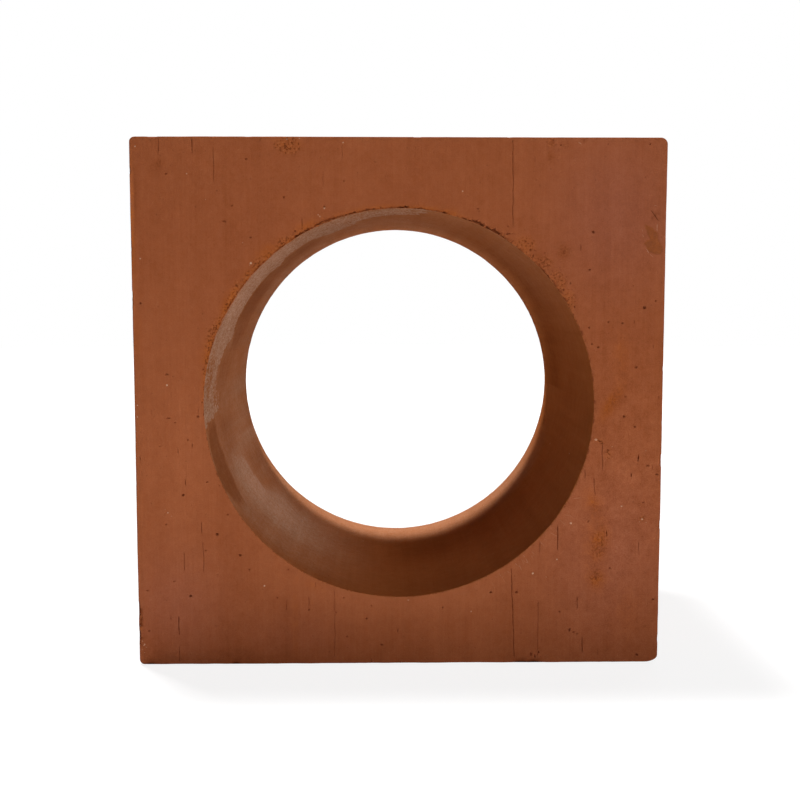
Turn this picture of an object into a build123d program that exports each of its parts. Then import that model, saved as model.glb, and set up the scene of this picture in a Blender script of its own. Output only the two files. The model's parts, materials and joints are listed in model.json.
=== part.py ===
from build123d import *
import os

# A square ventilation block of fired clay with one large round bore.
# It is a length of an extruded clay column: the die gives the section, with the bore and the
# four rounded arrises, and the cutting wire leaves flat ends that meet the bore in a sharp rim.
# The block stands on one of its sides, +Z is up and the bore runs along Y.
# The origin is the middle of the underside, and the exposed face looks along -Y.

# Driving dimensions in millimetres
block_width = 200.0
block_height = 200.0
block_depth = 130.0
bore_diameter = 147.0
arris_radius = 3.0


def die_section():
    """The clay column's section: a square with rounded arrises around a round bore."""
    outline = RectangleRounded(block_width, block_height, arris_radius)
    return outline - Circle(bore_diameter / 2)


def clay_brick():
    """One length of the column, cut square to its run and stood on its side."""
    column = extrude(Plane.XZ * die_section(), amount=block_depth / 2, both=True)
    return Pos(0, 0, block_height / 2) * column


os.makedirs("parts", exist_ok=True)
export_step(clay_brick(), "parts/clay_brick.step")
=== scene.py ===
import itertools
import json
import math

import bpy
import numpy as np
from mathutils import Matrix, Vector
from mathutils.geometry import delaunay_2d_cdt
from mathutils.kdtree import KDTree


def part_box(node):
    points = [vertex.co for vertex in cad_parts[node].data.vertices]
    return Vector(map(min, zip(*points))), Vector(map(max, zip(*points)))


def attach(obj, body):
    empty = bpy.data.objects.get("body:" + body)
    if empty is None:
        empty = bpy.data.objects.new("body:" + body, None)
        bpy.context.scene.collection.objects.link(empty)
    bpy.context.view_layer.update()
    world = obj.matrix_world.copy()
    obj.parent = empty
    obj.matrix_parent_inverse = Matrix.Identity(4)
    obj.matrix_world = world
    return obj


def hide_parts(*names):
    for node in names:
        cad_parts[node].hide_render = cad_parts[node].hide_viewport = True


# A square ventilation block of fired clay with one round bore, standing on a pale floor.
# The clay column was pushed through a die, so its sides and bore carry drag lines along Y, and
# the cutting wire ran down the two ends, so the faces carry fine upright streaks and cracks.
# Shapes are worked out in millimetres and the finished mesh is written in metres.

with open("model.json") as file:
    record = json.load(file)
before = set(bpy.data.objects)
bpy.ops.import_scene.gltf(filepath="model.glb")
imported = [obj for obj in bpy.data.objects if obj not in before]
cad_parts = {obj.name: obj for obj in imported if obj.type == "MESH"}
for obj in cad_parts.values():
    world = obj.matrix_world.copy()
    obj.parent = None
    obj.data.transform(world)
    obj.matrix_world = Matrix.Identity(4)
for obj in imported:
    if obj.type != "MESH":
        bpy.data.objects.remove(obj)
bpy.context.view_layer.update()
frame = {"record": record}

MM = 0.001
DEGREE = math.pi / 180

# The block's own sizes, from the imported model
_, box_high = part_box("clay_brick")
HALF_WIDTH = box_high.x / MM
HEIGHT = box_high.z / MM
HALF_DEPTH = box_high.y / MM
bore_mount = next(mount for mount in frame["record"]["mounts"] if mount["name"] == "bore")
BORE_RADIUS = bore_mount["dims"]["r_mm"]
BORE_HEIGHT = bore_mount["pos_m"][2] / MM
BORE_LENGTH = 2 * math.pi * BORE_RADIUS

# The four arrises as worn, anticlockwise from the lower right as the front is seen: the side of
# the block that each is on, as signs of X and Z, and its reach along X and Z
ARRISES = (((1, -1), (5.2, 2.8)), ((1, 1), (2.7, 2.7)), ((-1, 1), (2.2, 2.0)), ((-1, -1), (2.0, 2.2)))

# Rows of points beside an edge, by their distance from it
EDGE_ROWS = (0.22, 0.5, 1.1)
FRONT_RIM_ROWS = (0.18, 0.38, 0.6, 0.84, 1.1, 1.45)
# Steps of the mesh on its four surfaces and along its four edges, the front being side -1
FRONT_STEP, BACK_STEP, SKIN_STEP, WALL_STEP = 1.36, 2.8, 3.2, 2.3
EDGE_STEPS = {(-1, "outline"): 0.6, (-1, "rim"): 0.42, (1, "outline"): 1.3, (1, "rim"): 1.3}
DRAWN_EDGE_STEP = 0.9
FINEST_STEP = 0.3
STEP_GROWTH = 0.5
LEAST_GAP = 0.16
COARSE = 9.0

rng = np.random.default_rng(1436)


# Repeatable noise


def lattice_value(cell, seed):
    """A fixed random number from 0 to 1 for each whole-number point."""
    x, y, z = cell.T
    h = (x * 374761393 + y * 668265263 + z * 974634777 + seed * 83492791) & 0xFFFFFFFF
    h = ((h ^ (h >> 13)) * 1274126177) & 0xFFFFFFFF
    return ((h ^ (h >> 16)) & 0xFFFFFF) / 0xFFFFFF


def noise(points, size, seed):
    """Smooth noise from -1 to 1. The size of its features is one number, or one for each axis."""
    q = points / np.asarray(size, float)
    cell = np.floor(q).astype(np.int64)
    t = q - cell
    t = t * t * (3 - 2 * t)
    total = np.zeros(len(points))
    for corner in itertools.product((0, 1), repeat=3):
        weight = np.prod(np.where(corner, t, 1 - t), axis=1)
        total += weight * lattice_value(cell + corner, seed)
    return total * 2 - 1


def rough_noise(points, size, seed, octaves=3):
    """Several sizes of noise added up, each half as large and half as strong as the last."""
    size = np.asarray(size, float)
    total = sum(noise(points, size / 2**k, seed + 17 * k) / 2**k for k in range(octaves))
    return total / (2 - 2 ** (1 - octaves))


def ramp(low, high, value):
    """0 below low, 1 above high and a smooth rise between them, or a fall if low is above high."""
    t = np.clip((value - low) / (high - low), 0, 1)
    return t * t * (3 - 2 * t)


def band(value, start, full, fading, end):
    """0 outside start and end, 1 from full to fading, and smooth between them."""
    return ramp(start, full, value) * ramp(end, fading, value)


def rays(turn):
    """Directions in a plane at these angles in radians."""
    return np.stack([np.cos(turn), np.sin(turn)], axis=1)


# The section's outline


def outline_curve():
    """The section's outline from the middle of the underside, anticlockwise as the front is seen.

    Gives the distance along it, its points in X and Z, and its outward normals.
    """
    quarter = np.linspace(0, math.pi / 2, 60)
    straight = np.linspace(0, 1, 200)[:, None]
    pieces = []
    last = np.zeros(2)
    for number, (side, reach) in enumerate(ARRISES):
        centre = np.array(side) * (np.array((HALF_WIDTH, HEIGHT / 2)) - reach)
        turn = quarter + (number - 1) * math.pi / 2
        corner = centre + reach * rays(turn) + (0, HEIGHT / 2)
        pieces += [last + (corner[0] - last) * straight, corner[1:-1]]
        last = corner[-1]
    points = np.concatenate([*pieces, last - last * straight])
    along = np.concatenate([[0], np.cumsum(np.hypot(*np.diff(points, axis=0).T))])
    fresh = np.concatenate([[True], np.diff(along) > 1e-9])
    points, along = points[fresh], along[fresh]
    tangent = np.gradient(points, along, axis=0)
    normal = np.stack([tangent[:, 1], -tangent[:, 0]], axis=1)
    return along, points, normal / np.linalg.norm(normal, axis=1)[:, None]


OUTLINE_ALONG, OUTLINE_POINTS, OUTLINE_NORMALS = outline_curve()
OUTLINE_LENGTH = OUTLINE_ALONG[-1]


def outline_at(along):
    """The outline's points and normals in X and Z at these distances along it."""
    return tuple(
        np.stack([np.interp(along, OUTLINE_ALONG, table[:, k]) for k in (0, 1)], axis=1)
        for table in (OUTLINE_POINTS, OUTLINE_NORMALS)
    )


def bore_at(along):
    """The bore's points in X and Z at these distances round it, and the normals, which look at its axis."""
    ray = rays(along / BORE_RADIUS)
    return ray * BORE_RADIUS + (0, BORE_HEIGHT), -ray


def around_bore(x, z):
    """The angle round the bore's axis, in degrees, and the distance out from its wall."""
    rise = z - BORE_HEIGHT
    return np.arctan2(rise, x) / DEGREE % 360, np.hypot(x, rise) - BORE_RADIUS


def lift(flat, y):
    """Points in X and Z put at a depth y."""
    return np.stack([flat[:, 0], np.broadcast_to(y, len(flat)), flat[:, 1]], axis=1)


# The mesh as it is collected: points and what each carries

# One of the fields is painted shade in pits, cracks, chips and crevices
FIELDS = ("cut", "wall", "depth", "hollow", "speck")
collected = {"place": [], "normal": [], **{field: [] for field in FIELDS}}
triangles = []


def add_points(place, normal, **values):
    """Adds points with their normals and fields, and gives their numbers in the mesh."""
    start = sum(len(block) for block in collected["place"])
    collected["place"].append(place)
    collected["normal"].append(np.broadcast_to(normal, place.shape))
    for field in FIELDS:
        collected[field].append(np.broadcast_to(np.asarray(values.get(field, 0.0), float), len(place)))
    return np.arange(start, start + len(place))


def add_edge(place, face_normal, side_normal, radius, wall, face_offsets):
    """A worn edge between a face and a side, as rows of points across it.

    Each row is bent onto an arc of the edge's radius. Gives the numbers of the edge itself and
    of the rows on the face and on the side.
    """
    centre = place - radius[:, None] * (face_normal + side_normal)

    def row(distance, own, other, cut, bore):
        turn = np.clip(1 - distance / radius, 0, 1)[:, None] * math.pi / 4
        direction = np.cos(turn) * own + np.sin(turn) * other
        inside = (distance < radius)[:, None]
        spots = np.where(inside, centre + radius[:, None] * direction, place - distance * other)
        return add_points(spots, np.where(inside, direction, own), cut=cut, wall=bore)

    edge = row(0.0, face_normal, side_normal, 0.5, 0.5 * wall)
    face_rows = [row(d, face_normal, side_normal, 1.0, 0.0) for d in face_offsets]
    side_rows = [row(d, side_normal, face_normal, 0.0, 1.0 * wall) for d in EDGE_ROWS]
    return edge, face_rows, side_rows


def nearest_distance(points, marks):
    """The distance from each flat point to the nearest of the marks."""
    tree = KDTree(len(marks))
    for number, (u, v) in enumerate(marks):
        tree.insert((u, v, 0), number)
    tree.balance()
    return np.array([tree.find((u, v, 0))[2] for u, v in points])


def fill(low, high, step, edge_step, edges, marks, allowed, wanted):
    """Nested square lattices of points between two corners, finer near the edges and the marks.

    allowed says which points are in the patch, and wanted, if given, asks for a smaller step.
    """
    kept = []
    level = 0
    while step / 2**level >= FINEST_STEP * 0.9:
        pitch = step / 2**level
        u, v = (np.arange(math.ceil(low[k] / pitch), math.floor(high[k] / pitch) + 1) for k in (0, 1))
        grid = np.stack([axis.ravel() for axis in np.meshgrid(u, v)], axis=1)
        if level:
            grid = grid[(grid % 2 == 1).any(axis=1)]
        points = grid * pitch
        points = points[allowed(points)]
        to_edges, to_marks = nearest_distance(points, edges), nearest_distance(points, marks)
        asked = np.minimum(edge_step + STEP_GROWTH * to_edges, FINEST_STEP + STEP_GROWTH * to_marks)
        if wanted is not None:
            asked = np.minimum(asked, wanted(points))
        free = np.minimum(to_edges, to_marks) > 0.55 * pitch
        kept.append(points[free & ((asked < 1.5 * pitch) | (level == 0))])
        level += 1
    return np.concatenate(kept)


def join(flat, numbers, flip, closed_rim=None):
    """Triangulates flat points into the mesh. A rim is a set of numbers that bounds a hole."""
    # The points are shrunk to within 1 of the origin, where the triangulation is most exact
    corners = [Vector(p) for p in flat / np.abs(flat).max()]
    _, _, faces, origins, _, _ = delaunay_2d_cdt(corners, [], [], 0, 1e-7, True)
    source = np.array([origin[0] for origin in origins])
    faces = source[np.array(faces)]
    a, b, c = (flat[faces[:, k]] for k in range(3))
    area = (b[:, 0] - a[:, 0]) * (c[:, 1] - a[:, 1]) - (b[:, 1] - a[:, 1]) * (c[:, 0] - a[:, 0])
    faces = np.where((area > 0)[:, None] != flip, faces, faces[:, ::-1])
    keep = np.abs(area) > 1e-7
    faces = numbers[faces]
    if closed_rim is not None:
        keep &= ~np.isin(faces, closed_rim).all(axis=1)
    triangles.append(faces[keep])


def build_patch(flats, numbers, put, marks, allowed, corners, steps, wanted, flip, closed_rim=None):
    """Fills a patch between its edges with its marks and a lattice of points, and triangulates it.

    put adds flat points of the patch to the mesh and gives their numbers there. steps holds the
    lattice's coarsest step and the step along the edges.
    """
    edges = border = np.concatenate(flats)
    for flat, depth, hollow, speck in marks:
        keep = nearest_distance(flat, border) > LEAST_GAP
        flats.append(flat[keep])
        numbers.append(put(flat[keep], depth=depth[keep], hollow=hollow[keep], speck=speck[keep]))
        border = np.concatenate([border, flat[keep]])
    lattice = fill(*corners, *steps, edges, border[len(edges):], allowed, wanted)
    flats.append(lattice)
    numbers.append(put(lattice))
    join(np.concatenate(flats), np.concatenate(numbers), flip, closed_rim)


# Marks on a wire-cut face, in X and Z

# Drying cracks that the wire drew out: x, top, bottom, width, and the foot's own x if it leans
CRACKS = (
    (42.1, 199.3, 166.8, 0.36, 42.4), (42.9, 37.6, 20, 0.45, 43.6), (43.6, 20, 2.3, 0.42, 44.3),
    (53.4, 24.6, 2.3, 0.26), (-89, 199.6, 193.4, 0.4), (-76.6, 199.6, 193.8, 0.6),
    (-68.8, 196, 183.5, 0.34), (-36.2, 170.2, 166.8, 0.45), (-21.2, 197, 191, 0.26),
    (-28.3, 187, 181.5, 0.26), (50.4, 193.2, 190.8, 0.26), (-82.2, 44, 36.6, 0.42), (-75.4, 55.7, 51, 0.45),
    (-74.8, 48, 36, 0.4), (-84.6, 19.1, 11.5, 0.6), (-87.5, 19.2, 17.4, 0.45), (-84.6, 7.1, 0.6, 0.42),
    (-43.3, 25.4, 20.8, 0.34), (-34.8, 26.5, 20.8, 0.42, -34.7), (-32.3, 32.6, 29.8, 0.45),
    (-24.9, 29.5, 2.5, 0.3), (-0.6, 13.8, 12.2, 0.6, -0.7), (-10.8, 1.8, 0.1, 0.55), (0.1, 1.7, 0.2, 0.35),
    (68, 160.6, 158, 0.45), (53.8, 47.7, 43, 0.4), (60.6, 54, 44.2, 0.55, 60.7), (68.4, 26, 21, 0.55),
    (79.3, 52, 49.6, 0.65), (70.6, 10.3, 4, 0.4), (76.7, 5.2, 2.6, 0.45), (91.8, 47.5, 43.5, 0.34),
    (77.1, 85.6, 75, 0.34, 77.3), (74.9, 87, 85.7, 0.4, 77.1), (70.8, 75.4, 71.8, 0.5),
    (74.1, 72.5, 65.2, 0.36, 74.7), (91.1, 81.2, 78.5, 0.85, 90.9), (96.4, 77.2, 75.4, 0.45),
    (88.4, 74.2, 72.2, 0.6), (88.4, 132.2, 130.6, 0.5), (95.8, 123.2, 121.5, 0.45),
    (98.2, 103.7, 102.4, 0.5), (-76, 99.6, 95.4, 0.42), (-70.1, 128.4, 125, 0.4), (-93.5, 98.8, 96.8, 0.4),
    (-83.7, 84.2, 81.6, 0.5), (-78.3, 85.8, 84.2, 0.55), (-81.1, 72.2, 69.6, 0.45),
    (-68.2, 72.6, 68.8, 0.55), (-98, 80.8, 79.2, 0.5), (93.8, 173.1, 169.1, 0.44, 97),
)

# Pits: x, z, half width and half height, which are PIT_REACH unless given
PIT_REACH = (0.5, 0.4)
PITS = (
    (40.5, 164.3, 1.1, 0.5), (40.5, 167.1, 0.5, 0.35), (-86.4, 186.3), (-56.7, 191.7),
    (-42.9, 177.7, 0.5, 0.45), (-62.2, 174.6, 0.45, 0.4), (-65.1, 168.8, 0.9, 0.4), (-55.4, 162.9),
    (-38.8, 165.3), (-96.8, 138.5, 0.5, 0.5), (59.9, 197), (93.1, 197.4), (72.4, 165, 0.7, 0.6),
    (71.3, 151), (92.2, 136.8, 0.7, 0.6), (96.4, 139.3, 0.4, 0.4), (78.7, 131.5), (83.9, 131, 0.6, 0.4),
    (71.3, 129.3, 0.4, 0.5), (72.6, 123.2, 0.4, 0.4), (75, 122, 0.5, 0.5), (89.4, 114.4, 0.8, 0.4),
    (85.6, 103.2), (85.1, 95.8, 0.5, 0.5), (89.4, 91.7, 0.6, 0.5), (79.3, 82.8, 0.8, 0.4),
    (94.7, 76.9, 0.8, 0.4), (98, 73.5, 0.8, 0.4), (-87.5, 111.8, 0.8, 0.4), (-85.2, 111.1, 0.4, 0.3),
    (-87.3, 95.3, 0.8, 0.4), (-84.8, 93.7, 0.5, 0.35), (-76, 95.9, 0.6, 0.5), (-73.8, 113.7),
    (-71.5, 118.6, 0.5, 0.5), (-80, 87.1), (-82.1, 66, 0.6, 0.6), (-73, 71), (-90.6, 84.7, 0.5, 0.3),
    (-69.5, 50.8, 0.7, 0.6), (-60.9, 42.7, 0.7, 0.6), (-73.9, 44.5, 0.45, 0.4), (-57.4, 37.1, 0.5, 0.45),
    (-86.1, 32.6), (-79.9, 26.9, 0.7, 0.6), (-46.9, 26.1), (-65.4, 58.4), (-88.8, 54.6), (-96.4, 29.1),
    (-96, 13.3), (-42.5, 37, 0.45, 0.4), (-21.5, 26), (-12.7, 17.8, 0.45, 0.5), (-10.8, 22.8, 0.5, 0.35),
    (-7, 7.4, 0.7, 0.4), (-20.2, 10.7), (16.5, 22), (-24.4, 20.2, 0.45, 0.4), (-34.7, 21.3, 0.5, 0.5),
    (45, 27.8, 0.7, 0.6), (35.1, 27.8, 0.6, 0.6), (65.6, 13, 0.5, 0.9), (91.8, 3, 0.7, 0.5),
    (50.7, 3.4, 0.45, 1), (80.7, 37.2), (72.2, 55.3), (93.3, 62.7), (61.6, 20.2), (97.7, 24.8, 0.5, 0.5),
    (67.2, 12), (68.4, 11.5, 0.4, 0.35), (52.2, 2.6, 0.4, 0.8), (53.6, 4.2, 0.4, 0.7),
    (-20.7, 183.7, 0.45, 0.4), (-27.9, 174.4, 0.5, 0.35), (29.2, 173.6, 0.5, 0.35), (51.8, 152.2, 1, 0.5),
    (53.9, 149.9, 0.7, 0.5), (56.5, 146.9, 0.6, 0.8), (61.7, 143.5, 0.5, 0.5), (61.7, 140, 0.5, 0.5),
    (48.9, 158.3, 0.4, 0.4), (50, 156.4, 0.4, 0.4),
)

# Light grains: x, z and radius
SPECKS = (
    (74.7, 86.9, 0.62), (-97.5, 196.2, 0.4), (-78.7, 186.3, 0.35), (-96.5, 155.1, 0.4), (-55.4, 153.4, 0.5),
    (-88, 59.2, 0.4), (-51.7, 30.8, 0.5), (-97.8, 8, 0.4), (65.6, 54.6, 0.5), (51.2, 35.2, 0.5),
    (60.4, 40.6, 0.4), (92.9, 56.1, 0.45), (84.9, 61.2, 0.4), (-87.4, 107.8, 0.5), (-98.7, 100.2, 0.4),
    (-98.8, 95.8, 0.4), (-20.8, 197.7, 0.4), (-27.9, 173.7, 0.45), (-30.2, 171.3, 0.35),
    (-29.6, 170.7, 0.35), (23.5, 180, 0.4), (3.4, 25, 0.4), (27.6, 20.4, 0.35), (-37, 199.2, 0.4),
    (-41.5, 198.9, 0.35), (-98.6, 9.3, 0.3), (-98.1, 7.7, 0.36), (-97.2, 6.9, 0.27), (-98.7, 5.9, 0.3),
    (-97.9, 4.8, 0.27), (-71.9, 176.8, 0.25), (-58.4, 161, 0.28), (-55.9, 152.7, 0.27), (80.9, 84.2, 0.3),
    (93.8, 82.6, 0.28), (94.4, 54.9, 0.28), (91.9, 55.2, 0.28), (-86.6, 57.9, 0.28), (-89, 60.4, 0.26),
    (56.4, 33.8, 0.25),
)

# Light scrapes: start x and z, end x and z, and width
SCRAPES = (
    (96.4, 168.2, 96.4, 165.2, 0.5), (92, 159.4, 93.6, 157, 0.45), (93.6, 157, 95.2, 155.8, 0.4),
    (94.9, 175, 96.6, 174.6, 0.35), (90.6, 166.4, 91.2, 165, 0.35), (90.9, 164.2, 91.6, 163, 0.35),
    (66, 198.3, 67.8, 197.2, 0.4), (60.4, 61.2, 61.6, 59.8, 0.4), (57.6, 53.6, 58.6, 51.8, 0.4),
    (55.5, 54.2, 57.5, 52.9, 0.35), (54.1, 51.8, 55.6, 50.4, 0.4), (49.2, 46.6, 50.8, 45.2, 0.4),
    (46.6, 43.9, 48.4, 41.3, 0.4), (44.8, 43, 46.2, 40.6, 0.4), (42.6, 40.6, 43.6, 39.2, 0.35),
    (33.2, 34.8, 33.6, 33.4, 0.35), (-30.4, 171.4, -29.4, 170.2, 0.5),
)


def upright(x, top, bottom, width, foot=None):
    """A crack as x and z of its start and its end, and its width."""
    return x, top, x if foot is None else foot, bottom, width


def crack_marks(cracks):
    """Four rows of points along each crack: its two lips and the two sides of its floor, which carries
    painted shade.
    """
    flat, depth, hollow = [], [], []
    for *line_ends, width in cracks:
        start, end = np.reshape(line_ends, (2, 2))
        length = math.hypot(*(end - start))
        t = np.linspace(0, 1, max(5, round(length / 0.4)))
        line = start + (end - start) * t[:, None]
        line[:, 0] += 0.14 * noise(np.stack([0 * t + start[0], line[:, 1], 0 * t], axis=1), (1, 2.2, 1), 5)
        across = np.array((start[1] - end[1], end[0] - start[0])) / length
        taper = np.sqrt(np.clip(np.minimum(t, 1 - t) * length / 0.8, 0.06, 1))
        uneven = 0.8 + 0.35 * noise(lift(line, 0.0), (1, 1, 1.3), 8)
        half = 0.42 * width * taper * uneven
        for share, floor in ((-1, 0), (-0.35, 1), (0.35, 1), (1, 0)):
            flat.append(line + across * (share * half)[:, None])
            depth.append(floor * 0.65 * width * taper)
            # The floor of a crack is darkened with painted shade
            hollow.append(floor * taper * uneven * np.clip(1.5 * (width - 0.2), 0.1, 0.7))
    return np.concatenate(flat), np.concatenate(depth), np.concatenate(hollow)


def ring_marks(spots):
    """A centre, an inner ring and a ragged outer ring of points for each spot.

    Gives the points, 1 for those inside the outer ring and 0 for those on it, and the spot's
    smaller reach.
    """
    flat, share, size = [], [], []
    for x, z, reach_x, reach_z in spots:
        turn = np.arange(9) * 2 * math.pi / 9 + rng.uniform(0, 1)
        ragged = rng.uniform(0.75, 1.2, len(turn))
        ray = rays(turn) * (reach_x, reach_z) * ragged[:, None]
        flat += [np.array([[x, z]]), (x, z) + 0.5 * ray[::2], (x, z) + ray]
        share += [np.ones(6), np.zeros(9)]
        size.append(np.full(15, min(reach_x, reach_z)))
    return np.concatenate(flat), np.concatenate(share), np.concatenate(size)


def face_marks(cracks, pits, specks, scrapes=()):
    """The marks of a face as sets of points with their depth, painted shade and lightness."""
    crack_flat, crack_depth, crack_shade = crack_marks(cracks)
    pit_flat, pit_share, pit_size = ring_marks(pits)
    speck_flat, speck_share, speck_size = ring_marks([(x, z, r, r) for x, z, r in specks])
    # Pits are darkened with painted shade, the larger ones more
    pit_shade = pit_share * np.clip(2.0 * (pit_size - 0.2), 0.12, 0.72)
    speck_light = speck_share * np.clip(2.4 * (speck_size - 0.2), 0.2, 0.8)
    marks = [
        (pit_flat, 0.9 * pit_share * pit_size, pit_shade, 0 * pit_share),
        (crack_flat, crack_depth, crack_shade, 0 * crack_depth),
        (speck_flat, -0.1 * speck_share, 0 * speck_share, speck_light),
    ]
    if scrapes:
        scrape_flat, scrape_depth, _ = crack_marks(scrapes)
        marks.append((scrape_flat, 0.15 * scrape_depth, 0 * scrape_depth, scrape_depth))
    return marks


def within(points, margin):
    """True for points that keep a margin from the four straight sides of the outline."""
    across, up = np.abs(points - (0, HEIGHT / 2)).T
    return (across < HALF_WIDTH - margin) & (up < HEIGHT / 2 - margin)


def on_face(points, margin):
    """True for points of a face that keep a margin from its outline and its bore."""
    return (around_bore(*points.T)[1] > margin) & within(points, margin)


def inside_outline(points, away):
    """True for points inside the outline by a distance, the round arrises included."""
    inside = within(points, away)
    for side, reach in ARRISES:
        over = (points - (0, HEIGHT / 2)) * side - (HALF_WIDTH - reach[0], HEIGHT / 2 - reach[1])
        outside = np.hypot(*(over / (np.array(reach) - away)).T) > 1
        inside &= ~((over > 0).all(axis=1) & outside)
    return inside


def scattered(count, inside, low, high):
    """Random flat points between two corners that pass a test."""
    found = rng.uniform(low, high, (count * 6, 2))
    return found[inside(found)][:count]


def random_cracks(count):
    """Short upright cracks at random places of a face."""
    tops = scattered(count, clear_face, (-96, 10), (96, 197))
    lengths = rng.gamma(1.6, 2.0, len(tops)) + 1.0
    widths = rng.uniform(0.3, 0.55, len(tops))
    keep = on_face(tops - np.stack([0 * lengths, lengths], axis=1), 2.0)
    return [upright(x, z, z - l, w) for (x, z), l, w in zip(tops[keep], lengths[keep], widths[keep])]


def random_pits(count, smallest, largest, inside, low, high):
    """Small pits at random places."""
    spots = scattered(count, inside, low, high)
    reach = rng.uniform(smallest, largest, len(spots))
    return [(u, v, r, 0.8 * r) for (u, v), r in zip(spots, reach)]


def random_scuffs(count):
    """Fine light scuffs that point away from the bore, low on its right."""
    turns = rng.triangular(284, 316, 346, count) * DEGREE
    starts = BORE_RADIUS + rng.uniform(0.9, 3.2, count)
    lengths = rng.uniform(0.8, 3.6, count)
    tilts = turns + rng.normal(0, 0.3, count)
    widths = rng.uniform(0.2, 0.38, count)
    x, z = starts * np.cos(turns), BORE_HEIGHT + starts * np.sin(turns)
    return list(zip(x, z, x + lengths * np.cos(tilts), z + lengths * np.sin(tilts), widths))


# Edges


def build_edges(side):
    """The outline and the bore's rim at one end of the block."""
    face_normal = np.array((0.0, side, 0.0))
    loops = {}
    for name, length, curve, smallest, largest, wall in (
        ("outline", OUTLINE_LENGTH, outline_at, 0.3, 0.75, 0),
        ("rim", BORE_LENGTH, bore_at, 0.22, 0.5, 1),
    ):
        along = np.linspace(0, length, round(length / EDGE_STEPS[side, name]) + 1)[:-1]
        flat, normal = curve(along)
        place = lift(flat, side * HALF_DEPTH)
        radius = smallest + (largest - smallest) * (0.5 + 0.5 * rough_noise(place, 5.0, 31))
        offsets = FRONT_RIM_ROWS if name == "rim" and side < 0 else EDGE_ROWS
        rows = add_edge(place, face_normal, lift(normal, 0.0), radius, wall, offsets)
        loops[name] = dict(along=along, length=length, flat=flat, normal=normal, rows=rows, offsets=offsets)
    return loops


ends = {-1: build_edges(-1), 1: build_edges(1)}


# The two wire-cut faces

# Torn and crumbled places on the front: x, z, reach along X, reach along Z, depth in millimetres
TORN = (
    (-41, 196.5, 5.5, 3.5, 0.35), (56.2, 198, 1.4, 2, 0.5), (37.5, 163, 3, 2.2, 0.6),
    (46.5, 160, 5, 3.4, 0.35), (53.5, 153, 4.4, 4, 0.45), (59, 146.5, 3.8, 4.8, 0.4),
    (63.5, 139.5, 3.2, 5, 0.3), (-60.5, 143, 2.8, 4.5, 0.3), (-52, 153.5, 3.6, 2.6, 0.25),
    (-42, 161.5, 4.5, 2.2, 0.25), (92.9, 56.1, 1.6, 1.6, 0.3), (79.5, 81, 1.8, 2.6, 0.25),
    (76.3, 86.2, 2, 1.2, 0.3), (-99.4, 17, 1, 8, 0.4),
)
# How far out the front's rim is crumbled, in millimetres by angle in degrees
RIM_CRUMBLE = (
    (0, 0.5), (20, 0.6), (28, 0.8), (35, 1.3), (42, 2.4), (56, 2.8), (61, 1.8), (70, 1.5), (80, 1.2),
    (100, 1.2), (114, 1.5), (119, 2.6), (128, 2.4), (134, 3.2), (141, 2.6), (147, 3.6), (152, 3.2),
    (158, 4.2), (164, 3), (170, 1.6), (178, 1.2), (190, 0.7), (260, 0.5), (300, 0.6), (318, 1.2),
    (330, 0.8), (360, 0.5),
)
# The outline of a brown smear near the right arris, as x and z
SMEAR = (
    (91.5, 167.9), (93, 167.5), (94.8, 166.3), (96.6, 164.6), (96.8, 162.5), (98.7, 159.2), (97.9, 157.1),
    (95.8, 157.1), (93.6, 157.9), (91.5, 160.8), (93.6, 162.5), (92.8, 164.6),
)


def torn_share(points):
    """How much of each front face point is torn, from 0 to 1, and how deep."""
    ragged = 0.35 * rough_noise(lift(points, 0.0), 2.4, 71)
    turn, away = around_bore(*points.T)
    share = ramp(1.0, 0.4, away / np.interp(turn, *zip(*RIM_CRUMBLE)) + 1.2 * ragged)
    deep = 0.22 * share
    for x, z, reach_x, reach_z, depth in TORN:
        away = np.hypot((points[:, 0] - x) / reach_x, (points[:, 1] - z) / reach_z) + ragged
        here = ramp(1.0, 0.6, away)
        deep = np.maximum(deep, here * depth)
        share = np.maximum(share, here)
    return share, deep


def outline_share(points, corners, soft):
    """1 inside a ragged outline, 0 outside it and a short fade between."""
    inside = np.zeros(len(points), bool)
    distance = np.full(len(points), np.inf)
    for (x0, z0), (x1, z1) in zip(corners, corners[1:] + corners[:1]):
        line = np.array((x1 - x0, z1 - z0))
        away = points - (x0, z0)
        t = np.clip(away @ line / (line @ line), 0, 1)
        distance = np.minimum(distance, np.hypot(*(away - t[:, None] * line).T))
        crossed = (z0 > points[:, 1]) != (z1 > points[:, 1])
        if z0 != z1:
            inside ^= crossed & (away[:, 0] < line[0] * away[:, 1] / line[1])
    ragged = 0.35 * rough_noise(lift(points, 0.0), 1.3, 351)
    return ramp(-soft, soft, np.where(inside, distance, -distance) + ragged)


def roughness_step(points):
    """A fine mesh on the torn places and on the smear."""
    smeared = np.where(outline_share(points, SMEAR, 0.8) > 0, 0.4, COARSE)
    return np.where(torn_share(points)[0] > 0.02, 0.55, smeared)


def build_face(side, step, marks):
    """One wire-cut face with its marks."""
    flats, numbers = [], []
    for loop in ends[side].values():
        edge, face_rows, _ = loop["rows"]
        for distance, row in zip((0.0, *loop["offsets"]), (edge, *face_rows)):
            flats.append(loop["flat"] - loop["normal"] * distance)
            numbers.append(row)
    marks = [[part[on_face(mark[0], 0.0)] for part in mark] for mark in marks]
    away = EDGE_ROWS[-1] + 0.3

    def put(flat, **values):
        return add_points(lift(flat, side * HALF_DEPTH), (0, side, 0), cut=1, **values)

    def allowed(points):
        return (around_bore(*points.T)[1] > away) & inside_outline(points, away)

    corners = (-HALF_WIDTH, 0), (HALF_WIDTH, HEIGHT)
    steps = step, EDGE_STEPS[side, "outline"]
    wanted = roughness_step if side < 0 else None
    rim = ends[side]["rim"]["rows"][0]
    build_patch(flats, numbers, put, marks, allowed, corners, steps, wanted, side > 0, rim)


def clear_face(points):
    """True for points of a face well away from its edges."""
    return on_face(points, 3.0)


def near_rim(points):
    """True for points of a face in a narrow ring round the bore."""
    return on_face(points, 0.9) & ~on_face(points, 6.0)


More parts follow.
